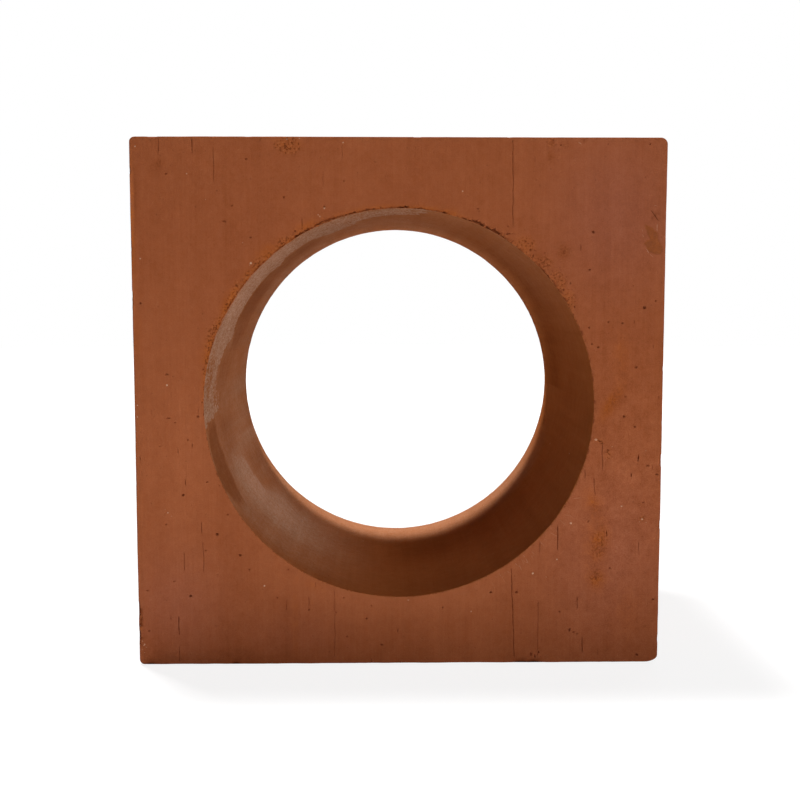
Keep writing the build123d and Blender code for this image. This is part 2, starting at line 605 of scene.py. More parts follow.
FACE_AREA = (clear_face, (-97, 3), (97, 197))
front_cracks = [upright(*crack) for crack in CRACKS]
front_pits = [(*pit, *PIT_REACH)[:4] for pit in PITS] + random_pits(48, 0.16, 0.34, *FACE_AREA)
front_pits += random_pits(34, 0.2, 0.38, near_rim, (40, 134), (66, 166))
build_face(-1, FRONT_STEP, face_marks(front_cracks, front_pits, SPECKS, list(SCRAPES) + random_scuffs(34)))
back_pits = random_pits(100, 0.2, 0.65, *FACE_AREA)
back_specks = [(x, z, 0.45) for x, z in scattered(16, *FACE_AREA)]
build_face(1, BACK_STEP, face_marks(random_cracks(34), back_pits, back_specks))


# The die skin and the bore's wall, unrolled as distance along the section and Y

# Light flecks in the dust on the bore's wall: angle in degrees, depth and radius
WALL_SPECKS = (
    (178.5, 22, 0.5), (182, 28, 0.6), (181, 24, 0.35), (184, 35, 0.3), (176, 19, 0.4), (179, 33, 0.35),
    (163, 6, 0.4), (168, 9, 0.35), (172, 4.5, 0.4), (185, 14, 0.3), (174, 12, 0.3), (180.5, 9, 0.3),
    (177, 27, 0.3), (183, 19, 0.3), (166, 15, 0.3), (226, 20, 0.3), (232, 14, 0.3), (219, 9, 0.3),
    (229, 42, 0.35), (150, 5, 0.3),
)


def build_side(name, curve, step, marks, wall, wanted=None):
    """One of the two drawn surfaces, closed round the section."""
    length = ends[-1][name]["length"]
    reach = HALF_DEPTH - EDGE_ROWS[-1]
    flats, numbers = [], []

    def put(flat, **values):
        point, normal = curve(flat[:, 0])
        return add_points(lift(point, flat[:, 1]), lift(normal, 0.0), wall=wall, **values)

    def allowed(points):
        return (np.abs(points[:, 1]) < reach - 0.1) & (points[:, 0] > 0.1) & (points[:, 0] < length - 0.1)

    for side in (-1, 1):
        loop = ends[side][name]
        edge, _, side_rows = loop["rows"]
        for distance, row in zip((0.0, *EDGE_ROWS), (edge, *side_rows)):
            y = side * (HALF_DEPTH - distance)
            flats += [np.stack([loop["along"], np.full(len(row), y)], axis=1), np.array([[length, y]])]
            numbers += [row, row[:1]]
    seam = np.linspace(-reach, reach, round(2 * reach / step) + 1)[1:-1]
    seams = [np.stack([np.full(len(seam), u), seam], axis=1) for u in (0.0, length)]
    flats += seams
    numbers += [put(seams[0])] * 2
    corners = (0, -HALF_DEPTH), (length, HALF_DEPTH)
    build_patch(flats, numbers, put, marks, allowed, corners, (step, DRAWN_EDGE_STEP), wanted, wall == 0)


def arris_step(points):
    """A fine mesh round the four arrises, which are where the normal looks along neither axis."""
    _, normal = outline_at(points[:, 0])
    return np.where(np.abs(normal).max(axis=1) < 0.9999, 0.9, COARSE)


def drawn_marks(length, pit_count):
    """Random pits and light grains on a drawn surface, and one short crack."""
    area = (lambda p: np.abs(p[:, 1]) < HALF_DEPTH - 3, (3, -60), (length - 3, 60))
    pits = random_pits(pit_count, 0.3, 0.8, *area)
    grains = [(u, v, 0.4) for u, v in scattered(pit_count // 4, *area)]
    return face_marks([(30.0, 10.0, 30.0, 6.0, 0.4)], pits, grains)


build_side("outline", outline_at, SKIN_STEP, drawn_marks(OUTLINE_LENGTH, 70), 0, arris_step)
wall_specks = [(angle * DEGREE * BORE_RADIUS, depth - HALF_DEPTH, r) for angle, depth, r in WALL_SPECKS]
wall_marks = drawn_marks(BORE_LENGTH, 36)
wall_marks += face_marks([(60.0, 10.0, 60.0, 6.0, 0.3)], [(80.0, 20.0, 0.4, 0.4)], wall_specks)
build_side("rim", bore_at, WALL_STEP, wall_marks, 1)


# Relief, always into the clay

# Where the wire lifted a lip of clay as it broke into the bore, a crevice runs just outside the
# upper rim: start and end angle in degrees, distance from the rim and width in millimetres
RIM_CREVICES = (
    (135.8, 134.4, 0.4, 0.6), (132.4, 129.4, 0.4, 0.5), (128.5, 124.5, 0.4, 0.4), (122.3, 116.5, 0.5, 0.85),
    (115.3, 109.5, 1, 0.65), (112.5, 102.2, 0.4, 0.85), (101.3, 96.8, 0.5, 0.75), (96.6, 94.2, 0.5, 0.35),
    (94, 87.2, 0.45, 0.75), (90.5, 88.5, 1.1, 0.35), (86.6, 81.8, 0.6, 0.4), (80.6, 76.2, 0.5, 0.85),
    (72, 68.6, 0.4, 0.6), (69, 64.8, 0.75, 1), (66, 64.5, 1.2, 0.6), (64.7, 59.4, 0.75, 1),
    (60.8, 59.8, 1.2, 0.7), (59.6, 56.8, 0.6, 0.65), (44.3, 38.4, 0.4, 0.45), (32.9, 30.2, 0.4, 0.55),
    (27.3, 25.8, 0.4, 0.5), (25, 22.6, 0.3, 0.4), (16.5, 15, 0.3, 0.35),
)


def rim_crevices(points):
    """How deep each front point lies in the crevices along the rim, in millimetres."""
    turn, away = around_bore(*points.T)
    along = np.stack([turn * BORE_RADIUS * DEGREE, 0 * turn, 0 * turn], axis=1)
    wander = 0.42 * rough_noise(along, 2.4, 311) + 0.42 * rough_noise(along, 0.9, 313, 2)
    uneven = 1.05 + 0.75 * rough_noise(along, 1.2, 331)
    depth = np.zeros(len(points))
    for start, end, distance, width in RIM_CREVICES:
        taper = ramp(0, 0.7, np.minimum(start - turn, turn - end))
        across = np.abs(away - distance - wander) / (0.5 * width * np.maximum(uneven, 0.2))
        depth = np.maximum(depth, taper * width * ramp(1.0, 0.3, across))
    return depth


place, normal = np.concatenate(collected["place"]), np.concatenate(collected["normal"])
cut, wall, dents, hollow, speck = (np.concatenate(collected[field]) for field in FIELDS)
x, y, z = place.T
flat_front = place[:, [0, 2]]
on_front = (cut > 0.4) & (y < 0)
rim_away = np.abs(around_bore(x, z)[1])
torn, torn_depth = (share * on_front for share in torn_share(flat_front))
crevice = rim_crevices(flat_front) * on_front
smear = outline_share(flat_front, SMEAR, 0.25) * on_front
nibbles = 0.5 * ramp(0.7, 0.1, rim_away) * np.maximum(rough_noise(place, 1.5, 371, 2), 0)
rim_upper = 0.35 + 0.65 * ramp(-20, 20, z - BORE_HEIGHT)
nibbles *= rim_upper * ramp(HALF_DEPTH - 0.7, HALF_DEPTH - 0.1, np.abs(y))
waves = 0.16 + 0.12 * rough_noise(place, 55, 101, 2) + 0.03 * rough_noise(place, 9, 131, 2)
drag_waves = 0.035 * rough_noise(place, (14, 300, 14), 151) * (1 - cut)
wire_waves = 0.03 * rough_noise(place, (11, 40, 160), 171) * cut
crumbs = torn_depth * (0.35 + 1.1 * rough_noise(place, 1.9, 191))
relief = waves + drag_waves + wire_waves + crumbs + dents + crevice + nibbles + 0.2 * smear
place = place - normal * np.maximum(relief, 0)[:, None]
x, y, z = place.T

# Painted shade: dark lines and dots along the upper rim, and dark crumbled flecks low on the front's left
# edge
upper_left = ramp(35, 15, x) * ramp(8, 22, z - BORE_HEIGHT)
upper_right = ramp(30, 50, x) * ramp(-35, -15, z - BORE_HEIGHT)
rim_line = upper_left * ramp(1.0, 0.35, rim_away) * ramp(-0.2, 0.3, rough_noise(place, 1.9, 397, 2))
rim_dots = upper_right * ramp(1.4, 0.4, rim_away) * ramp(0.0, 0.35, rough_noise(place, 1.3, 401, 2))
flecks = ramp(98.2, 99.2, -x) * band(z, 4, 8, 24, 29)
flecks *= ramp(0.0, 0.35, rough_noise(place, (0.9, 2.0, 1.3), 391, 2) + 0.1)
edge_shade = 0.55 * ramp(0.06, 0.3, nibbles), 0.62 * rim_line + 0.7 * rim_dots, 0.9 * flecks
# Painted shade in the crumbs, in the rim's crevices and on its nibbles
hollow = np.maximum.reduce([hollow, 0.6 * ramp(0.22, 0.5, crumbs), 0.55 * ramp(0.08, 0.6, crevice)])
hollow = np.maximum(hollow, np.maximum.reduce(edge_shade) * on_front)


def scoop(start, end, radius, ragged, chip_shade):
    """Bites a round-ended groove out of the mesh: points nearer than the radius move out to it and are
    darkened with painted shade.
    """
    low, high = np.minimum(start, end) - radius * 1.4, np.maximum(start, end) + radius * 1.4
    near = np.flatnonzero(np.all((place > low) & (place < high), axis=1))
    if not len(near):
        return
    line = end - start
    t = np.clip(((place[near] - start) @ line) / max(line @ line, 1e-9), 0, 1)
    axis = start + t[:, None] * line
    away = place[near] - axis
    distance = np.linalg.norm(away, axis=1)
    reach = radius * (1 + ragged * rough_noise(place[near], 1.1, 211))
    bitten = distance < reach
    moved = axis + away / np.maximum(distance, 1e-6)[:, None] * reach[:, None]
    dark = np.clip(chip_shade * ramp(0.0, 0.4, reach - distance), 0, 1)
    hollow[near] = np.maximum(hollow[near], np.where(bitten, dark, 0))
    place[near[bitten]] = moved[bitten]


def chip(start, end, out, width, bite, ragged, chip_shade=0.4):
    """A chip with a width and a bite between two points of an edge. out leads away from the clay."""
    radius = (width**2 / 4 + bite**2) / (2 * bite)
    shift = out * (radius - bite)
    scoop(start + shift, end + shift, radius, ragged, chip_shade)


def edge_chip(flat_start, flat_end, side, width, bite, inward, chip_shade=0.4):
    """A chip along an edge of a face, between two points in X and Z.

    inward is the direction in X and Z that leads into the clay from that edge.
    """
    out = np.array((-inward[0], side, -inward[1])) / math.sqrt(2)
    start, end = (np.array((x, side * HALF_DEPTH, z)) for x, z in (flat_start, flat_end))
    chip(start, end, out, width, bite, 0.12, chip_shade)


def rim_chip(angle, side, width, bite):
    """A chip along the bore's rim from an angle in degrees."""
    spots, normals = bore_at(np.array((angle, angle + 0.7 * width)) * DEGREE * BORE_RADIUS)
    edge_chip(*spots, side, width, bite, -normals[0])


# Chips along the front's outline, in runs: start and end as distances along the run's edge,
# how many, the smallest and largest width, the edge and how dark their painted shade is
FRONT_CHIPS = (
    (182, 189, 5, 0.9, 1.7, "left", 0.7), (157.5, 166, 6, 0.9, 1.7, "left", 0.8),
    (134.5, 138.5, 3, 1.1, 2, "left", 0.8), (130.6, 131.8, 1, 1.2, 1.5, "left", 0.7),
    (9, 25, 22, 1, 2.2, "left", 2.4), (3, 9, 5, 0.6, 1.1, "left", 0.8),
    (45.4, 46.4, 1, 1.3, 1.5, "right", 1.2), (75, 76, 1, 1, 1.3, "right", 0.8),
    (28, 33, 2, 0.6, 1, "right", 0.5), (55.4, 56.8, 2, 1.1, 1.7, "top", 0.7),
    (-46.2, -36.5, 9, 0.7, 1.5, "top", 0.5), (66, 68.5, 2, 0.7, 1, "top", 0.5),
)
# Where each edge starts, its direction and the direction into the clay, all in X and Z
EDGE_LINES = {
    "left": ((-HALF_WIDTH, 0), (0, 1), (1, 0)),
    "right": ((HALF_WIDTH, 0), (0, 1), (-1, 0)),
    "top": ((0, HEIGHT), (1, 0), (0, -1)),
}
for run_start, run_end, count, smallest, largest, edge, chip_shade in FRONT_CHIPS:
    corner, direction, inward = (np.array(pair, float) for pair in EDGE_LINES[edge])
    for along in rng.uniform(run_start, run_end, count):
        width = rng.uniform(smallest, largest)
        stretch = rng.uniform(0.2, 1.0) * width
        first = corner + direction * (along - stretch / 2)
        bite = rng.uniform(0.28, 0.42) * width
        edge_chip(first, first + direction * stretch, -1, width, bite, inward, chip_shade)

# Small chips at random round both rims, more of them on the upper half than on the lower, and
# round both outlines and along the arrises
for side, half in itertools.product((-1, 1), ((0, 180, 60, 0.5, 1.2, 0.32), (180, 360, 30, 0.4, 0.8, 0.25))):
    low, high, count, smallest, largest, bite = half
    for angle, width in zip(rng.uniform(low, high, count), rng.uniform(smallest, largest, count)):
        rim_chip(angle, side, width, bite * width)
for side, count in ((-1, 34), (1, 46)):
    for along, width in zip(rng.uniform(0, OUTLINE_LENGTH, count), rng.gamma(4, 0.3, count) + 0.4):
        (spot,), (out,) = outline_at(np.array([along]))
        # The front's lower edge is the sharpest
        if side < 0 and out[1] < -0.5:
            width *= 0.4
        tangent = np.array((-out[1], out[0])) * 0.4 * width
        edge_chip(spot - tangent, spot + tangent, side, width, 0.34 * width, -out)
for (side_x, side_z), (reach_x, reach_z) in (ARRISES[number] for number in (2, 1, 0, 3)):
    for along, width in zip(rng.uniform(-58, 62, 9), rng.gamma(5, 0.35, 9) + 0.6):
        corner = np.array((side_x * HALF_WIDTH, along, HEIGHT / 2 * (1 + side_z)))
        worn = corner - np.array((side_x * reach_x, 0, side_z * reach_z)) * (1 - math.sqrt(0.5))
        stretch = np.array((0, 0.5 * width, 0))
        out = np.array((side_x, 0, side_z)) / math.sqrt(2)
        chip(worn - stretch, worn + stretch, out, width, 0.3 * width, 0.15)

np.clip(place, (-HALF_WIDTH, -HALF_DEPTH, 0), (HALF_WIDTH, HALF_DEPTH, HEIGHT), out=place)


# Colour fields that the material reads


def blot(points, spots):
    """Soft oval blots: x, z, reach along X, reach along Z, strength, and turn in degrees if it has one."""
    total = np.zeros(len(points))
    for x, z, reach_x, reach_z, strength, *turned in spots:
        dx, dz = points[:, 0] - x, points[:, 1] - z
        turn = sum(turned) * DEGREE
        c, s = math.cos(turn), math.sin(turn)
        away = np.hypot((c * dx + s * dz) / reach_x, (c * dz - s * dx) / reach_z)
        total += strength * np.exp(-2 * away**2)
    return total


# Lighter and darker places on the front. Some are stains; the broad ones, tens of millimetres across, are
# painted light and shade, the lighter streaks on the left arris a painted highlight and the dark strips on
# the bottom edge painted shadow
FRONT_STAINS_AND_PAINTED_LIGHT = (
    (-82, 84, 30, 60, 0.15), (84, 60, 30, 50, 0.07), (0, 30, 110, 20, 0.12), (-60, -2, 70, 12, -0.18),
    (84, 140, 26, 40, -0.04), (-46, 182, 3, 14, -0.05), (-44, 17, 2.8, 16, -0.1),
    (61.5, 157.5, 3.6, 3.6, -0.22), (52.5, 155.5, 2.8, 2.2, -0.16), (-89, 190, 2, 3.6, -0.13, -35),
    (69, 198.3, 1.7, 1, -0.28, -30), (76.8, 47.5, 3.4, 8, -0.1, -10), (75.5, 32.8, 3.8, 4.6, -0.1),
    (95.4, 171.1, 0.8, 2.8, -0.22, -38.7), (80.6, 101, 2.6, 9.5, -0.14, -32), (74, 62, 3.2, 6, -0.08, 20),
    (-60.5, 142, 2.8, 5, 0.24, -40), (56.2, 193, 1.5, 3.4, -0.22), (45, 169, 1.4, 4, -0.12),
    (62, 197, 2.6, 2, -0.1), (-60, 18.5, 3.5, 0.8, -0.12), (62, 100, 9, 60, 0.02), (-94, 6, 9, 18, -0.12),
    # The two lighter entries at x -99.6 are a painted highlight on the left arris
    (84, 40, 20, 30, 0.04), (-99.6, 174, 1.4, 18, 0.4), (-99.6, 140, 1.1, 14, 0.25),
    # The entries on the bottom edge, at z of 0.1 and 0.2, are dark strips of painted shadow
    (-97.9, 178, 0.6, 12, -0.14), (47, 0.2, 3, 1.1, -1.3), (52, 0.2, 3, 1.1, -1.3),
    (-62.7, 0.1, 1.8, 0.9, -0.9), (-95.4, 0.1, 1.8, 0.9, -0.8), (68.6, 0.1, 0.9, 0.8, -0.8),
)
# Rust stains on the front; the two on the left arris, at x -99.6 and -98.5, are a painted highlight
RUST_STAINS_AND_HIGHLIGHT = (
    (80.6, 101, 2.8, 9.5, 0.85, -32), (84, 118, 4, 12, 0.4), (76.8, 47.5, 3.8, 8, 0.55, -10),
    (75.5, 32.8, 4.2, 5, 0.55), (74, 62, 4, 8, 0.4, 20), (74.5, 46, 7, 18, 0.3), (88, 20, 6, 12, 0.25),
    (-71.5, 122, 3.2, 9, 0.6, -20), (-62, 140, 3.6, 7, 0.9, -40), (-60.6, 143, 2, 3.5, 0.6, -40),
    (-56, 149.5, 5, 3.4, 0.5, 45), (-99.6, 168, 1.7, 26, 0.95), (-40, 15, 1.4, 16, 0.4),
    (-33, 31, 6, 3, 0.3, -25), (-98.5, 128, 2, 14, 0.3), (47, 160, 7, 4, 0.3, -40),
    (62, 141, 3.6, 8, 0.3, 20), (-50, 158, 8, 3, 0.5, 35), (-41, 197, 6, 3, 0.5),
    (-35, 167, 7, 2.4, 0.45, 25), (19, 172.5, 4, 2, 0.45, -10),
)
# Stained places that are also finely pitted
PITTED_STAINS = (
    (76.4, 47, 4, 9, 0.9, -10), (75.5, 32.8, 4.2, 5.2, 0.85), (61.5, 157.5, 3.6, 3.6, 0.55),
    (52.5, 155.5, 2.8, 2.2, 0.3), (80.6, 101, 2.8, 9.5, 0.4, -32), (-89, 190, 2, 3.6, 0.35, -35),
    (56.2, 193, 1.5, 3.4, 0.35), (62, 197, 2.6, 2, 0.3),
)
ROSY_AREAS = (
    (82, 172, 34, 44, 0.9), (80, 40, 34, 46, 0.65), (-86, 22, 26, 30, 0.7), (-40, 12, 26, 14, 0.3),
)
# The right half is the grittier one, with more pores and grains
GRITTY_AREAS = ((82, 62, 40, 74, 1.5), (84, 165, 22, 30, 0.25), (-70, 40, 30, 40, 0.2))

# How far the pale dust on the bore's wall reaches in, by angle in degrees
DUST_REACH = (
    (79, -8), (84, 30), (90, 34), (97, 37), (102, 46), (106, 60), (112, 64), (116, 54), (119, 46),
    (124.5, 45), (129, 46), (132.6, 57), (136, 48), (147, 45), (157, 47), (160.6, 56), (164, 38), (170, 31),
    (176, 33), (180, 41), (183.5, 39), (186, 8), (188, -8),
)
# Where that dust is rubbed thin: angle, depth, and reach in angle and in depth
WORN_DUST = ((171, 11, 10, 11), (177, 32, 8, 16))
# Where the wide pale cloud low on the left starts, in degrees by depth
CLOUD_START = (
    (0, 214), (24, 206), (28, 200), (50, 201), (62, 203), (70, 206), (74, 217), (100, 219), (118, 216),
)
# Darker places on the wall with a round front end: angle, half width in degrees, start, end and strength
DARK_TONGUES = (
    (124.5, 9, 47, 86, 0.9), (147, 13.5, 46, 94, 1), (142, 25, 60, 88, 0.75), (161, 6, 54, 88, 0.8),
    (170, 8, 33, 62, 0.5), (193, 8, 34, 66, 0.45), (211, 8, 73, 116, 0.4),
)
# Lighter and darker areas of the wall, mostly painted light and shade: angle, depth, reach in angle, reach
# in depth and strength
WALL_TONES_AND_PAINTED_LIGHT = (
    (144, 20, 26, 34, 0.2), (38, 80, 40, 36, -0.2), (5, 98, 24, 24, -0.2), (222, 66, 26, 34, 0.2),
    (210, 56, 14, 22, 0.1), (192, 84, 24, 40, 0.06), (245, 98, 20, 24, 0.15), (275, 124, 50, 10, 0.14),
    (315, 36, 46, 56, 0.17), (278, 72, 16, 28, -0.2), (240, 8, 22, 14, -0.1),
)

turn = around_bore(x, z)[0]
into = y + HALF_DEPTH
unrolled = np.stack([turn * BORE_RADIUS * DEGREE, into, 0 * into], axis=1)
ragged_edge = rough_noise(unrolled, (9, 11, 1), 231)
streaks = rough_noise(unrolled, (3.2, 90, 1), 251)
clouds = rough_noise(unrolled, (26, 34, 1), 261)

coat = ramp(-5, 5, np.interp(turn, *zip(*DUST_REACH)) - into + 2.5 * ragged_edge)
worn_coat = np.zeros(len(place))
for angle, depth, reach_round, reach_in in WORN_DUST:
    away = np.hypot((turn - angle) / reach_round, (into - depth) / reach_in) + 0.4 * ragged_edge
    worn_coat = np.maximum(worn_coat, ramp(1.2, 0.5, away))
coat *= (1 - 0.5 * worn_coat) * (1 - 0.36 * ramp(124, 102, turn))
veil = (0.6 * ramp(5, 62, turn) + 0.4 * ramp(60, 105, turn)) * ramp(275, 215, turn)
veil *= 1 - 0.45 * ramp(26, 4, into) * ramp(204, 222, turn)
cloud_low = ramp(-3, 5, turn - np.interp(into, *zip(*CLOUD_START)) + 2.5 * ragged_edge)
cloud_low *= ramp(268, 218, turn + 6 * clouds) * ramp(2, 12, into)
cloud_low *= 0.25 + 0.75 * band(into, 26, 56, 72, 108)
wet_across = np.abs(turn - 199.5 + 3.5 * ragged_edge) / 14
wet_along = np.abs(into - 13.5 + 3.5 * rough_noise(unrolled, (6, 7, 1), 237)) / 12
wet_patch = ramp(1.12, 0.86, (wet_across**2.6 + wet_along**2.6) ** (1 / 2.6))
dark_tongues = np.zeros(len(place))
for centre, half, start, end, strength in DARK_TONGUES:
    across = np.clip(1 - ((turn + 1.5 * ragged_edge - centre) / half) ** 2, 0, 1) ** 0.5
    inside = ramp(start - 3, start + 7, into + 9 * (1 - across)) * ramp(end + 16, end - 16, into)
    dark_tongues = np.maximum(dark_tongues, across * inside * strength)
drips = ramp(0.0, 0.5, rough_noise(unrolled, (5.5, 130, 1), 271, 2))
drips *= band(turn, 160, 167, 194, 206) * ramp(34, 52, into)
# A painted highlight, made as pale dust, at the far end of the bore's floor where the overhead lamp's light
# falls
far_floor_highlight = ramp(88, 112, into + 4 * ragged_edge) * band(turn, 205, 232, 318, 352)
lip = ramp(3.0, 0.5, into + ragged_edge) * band(turn, 84, 100, 150, 172)
low_ring = 0.09 * ramp(15, 3, rim_away) * band(turn, 202, 222, 314, 334)
rim_rust = ramp(2.4, 0.5, rim_away) * band(turn, 62, 80, 166, 188)
bands = 0.03 * noise(place, (16, 1000, 300), 291) + 0.02 * noise(place, (5, 1000, 200), 293)

front_share = on_front * cut
coat_field = wall * coat * (1 - wet_patch)
dust = 0.8 * cloud_low + 0.3 * drips + 0.46 * veil * (0.85 + 0.4 * clouds + 0.25 * streaks)
dust = np.clip(dust, 0, 0.92) * (1 - 0.8 * wet_patch) * (1 - 0.6 * dark_tongues)
# The tone carries stains, random bands and painted light and shade
tone = 1 + front_share * (blot(flat_front, FRONT_STAINS_AND_PAINTED_LIGHT) + low_ring) + cut * bands
tone += wall * blot(np.stack([turn, into], axis=1), WALL_TONES_AND_PAINTED_LIGHT)
rust = front_share * np.clip(blot(flat_front, RUST_STAINS_AND_HIGHLIGHT) + 0.28 * smear + 0.6 * rim_rust, 0, 1)
grit = 1 + front_share * blot(flat_front, GRITTY_AREAS)
pitted = front_share * blot(flat_front, PITTED_STAINS)
paint = {
    "cut": cut,
    "wall": wall,
    "tone": np.maximum(tone, 0.2),
    "rust": rust + 0.8 * wall * lip,
    # The dust field also carries the painted highlight at the far end of the bore's floor
    "dust": wall * np.maximum(dust, 0.45 * far_floor_highlight),
    "coat": coat_field,
    "shade": wall * np.clip(0.75 * wet_patch + 0.8 * dark_tongues, 0, 1) + front_share * 0.75 * smear,
    "hollow": hollow,
    "speck": speck,
    "rosy": front_share * np.clip(blot(flat_front, ROSY_AREAS), 0, 1),
    "torn": np.maximum(torn * (1 - 0.2 * ramp(0, 40, x)), pitted),
    "grit": grit + wall * (0.5 * coat_field + 0.4 * wet_patch + 0.2 * veil),
}


# The piece


def make_mesh(name, points, faces, attributes):
    """A smooth-shaded mesh in metres with one number per point for each attribute."""
    mesh = bpy.data.meshes.new(name)
    mesh.vertices.add(len(points))
    mesh.vertices.foreach_set("co", (points * MM).ravel())
    mesh.loops.add(faces.size)
    mesh.loops.foreach_set("vertex_index", faces.ravel())
    mesh.polygons.add(len(faces))
    mesh.polygons.foreach_set("loop_start", np.arange(0, faces.size, 3))
    mesh.polygons.foreach_set("use_smooth", np.ones(len(faces), bool))
    mesh.update()
    mesh.validate()
    for attribute, values in attributes.items():
        layer = mesh.attributes.new(attribute, "FLOAT", "POINT")
        layer.data.foreach_set("value", values.astype(np.float32))
    mesh.set_sharp_from_angle(angle=42 * DEGREE)
    return mesh


def show(name, data):
    """A new object in the scene."""
    shown = bpy.data.objects.new(name, data)
    bpy.context.scene.collection.objects.link(shown)
    return shown


block_mesh = make_mesh("clay_block", place, np.concatenate(triangles), paint)
clay_block = show("clay_block", block_mesh)


# Materials


class Value:
    """A shader value that can be added and multiplied like a number."""

    def __init__(self, nodes, socket):
        self.nodes, self.socket = nodes, socket

    def __add__(self, other):
        return self.nodes.math("ADD", self, other)

    def __mul__(self, other):
        return self.nodes.math("MULTIPLY", self, other)

    __radd__ = __add__
    __rmul__ = __mul__


class Nodes:
    """Short calls for building a node tree."""

    def __init__(self, owner):
        owner.use_nodes = True
        self.tree = owner.node_tree
        self.tree.nodes.clear()

    def plug(self, socket, value):
        """Sets an input to a plain value, or links it to another node's output."""
        value = getattr(value, "socket", value)
        if isinstance(value, bpy.types.NodeSocket):
            self.tree.links.new(value, socket)
        else:
            socket.default_value = value

    def make(self, kind, inputs=(), **settings):
        """A node with its settings and its inputs."""
        node = self.tree.nodes.new(kind)
        for key, value in settings.items():
            setattr(node, key, value)
        for key, value in dict(inputs).items():
            self.plug(node.inputs[key], value)
        return node

    def math(self, operation, *values, **settings):
        """A math node's result."""
        node = self.make("ShaderNodeMath", enumerate(values), operation=operation, **settings)
        return Value(self, node.outputs[0])

    def vector(self, operation, inputs):
        """A vector math node."""
        return self.make("ShaderNodeVectorMath", inputs, operation=operation)

    def less(self, value):
        """1 less a value."""
        return self.math("SUBTRACT", 1.0, value)

    def field(self, name):
        """A number that the mesh carries."""
        return Value(self, self.make("ShaderNodeAttribute", attribute_name=name).outputs["Fac"])

    def grain(self, place, size, detail=3.0, roughness=0.6):
        """Noise centred on 0, with features of a size in millimetres, or of one for each axis."""
        scaled = self.vector("MULTIPLY", {0: place, 1: [1 / float(s) for s in np.broadcast_to(size, 3)]})
        inputs = {"Vector": scaled.outputs[0], "Scale": 1.0, "Detail": detail, "Roughness": roughness}
        return self.math("SUBTRACT", self.make("ShaderNodeTexNoise", inputs).outputs["Fac"], 0.5)

    def grains(self, place, spacing, radius):
        """Small round grains at random places, 1 in their middle and 0 outside, in millimetres."""
        inputs = {"Vector": place, "Scale": 1 / spacing}
        distance = self.make("ShaderNodeTexVoronoi", inputs, feature="F1").outputs["Distance"]
        return self.ramp(distance, radius / spacing, 0.4 * radius / spacing)

    def ramp(self, value, low, high):
        """0 below low, 1 above high and a smooth rise between them."""
        inputs = {"Value": value, "From Min": low, "From Max": high}
        node = self.make("ShaderNodeMapRange", inputs, interpolation_type="SMOOTHSTEP")
        return Value(self, node.outputs[0])

    def blend(self, factor, first, second):
        """A mix of two colours."""
        node = self.make("ShaderNodeMix", {"Factor": factor}, data_type="RGBA")
        for number, colour in ((6, first), (7, second)):
            self.plug(node.inputs[number], (*colour, 1) if isinstance(colour, tuple) else colour)
        return node.outputs[2]

    def seen(self):
        """1 for what the camera sees, straight or by way of gloss or glass, and 0 for all other light."""
        path = self.make("ShaderNodeLightPath").outputs
        shiny = self.math("MAXIMUM", path["Is Glossy Ray"], path["Is Transmission Ray"])
        return self.math("MAXIMUM", path["Is Camera Ray"], shiny)


CLAY = (0.316, 0.089, 0.033)
ROSY_CLAY = (0.304, 0.092, 0.046)
WALL_CLAY = (0.315, 0.094, 0.026)
# Rust, also used for the painted highlight on the front's left arris
RUST_AND_HIGHLIGHT_COLOUR = (0.35, 0.088, 0.019)
# Dust, also used for the painted highlight at the far end of the bore's floor
DUST_AND_HIGHLIGHT_COLOUR = (0.388, 0.212, 0.13)
SHADE = (0.2, 0.063, 0.0225)
# The colour of painted shade in pits, cracks, chips and crevices
HOLLOW_SHADE = (0.135, 0.028, 0.009)
SPECK = (0.7, 0.46, 0.3)
CRUMB = (0.44, 0.15, 0.055)
PORE = (0.15, 0.037, 0.012)
WHITE = (1, 1, 1, 1)


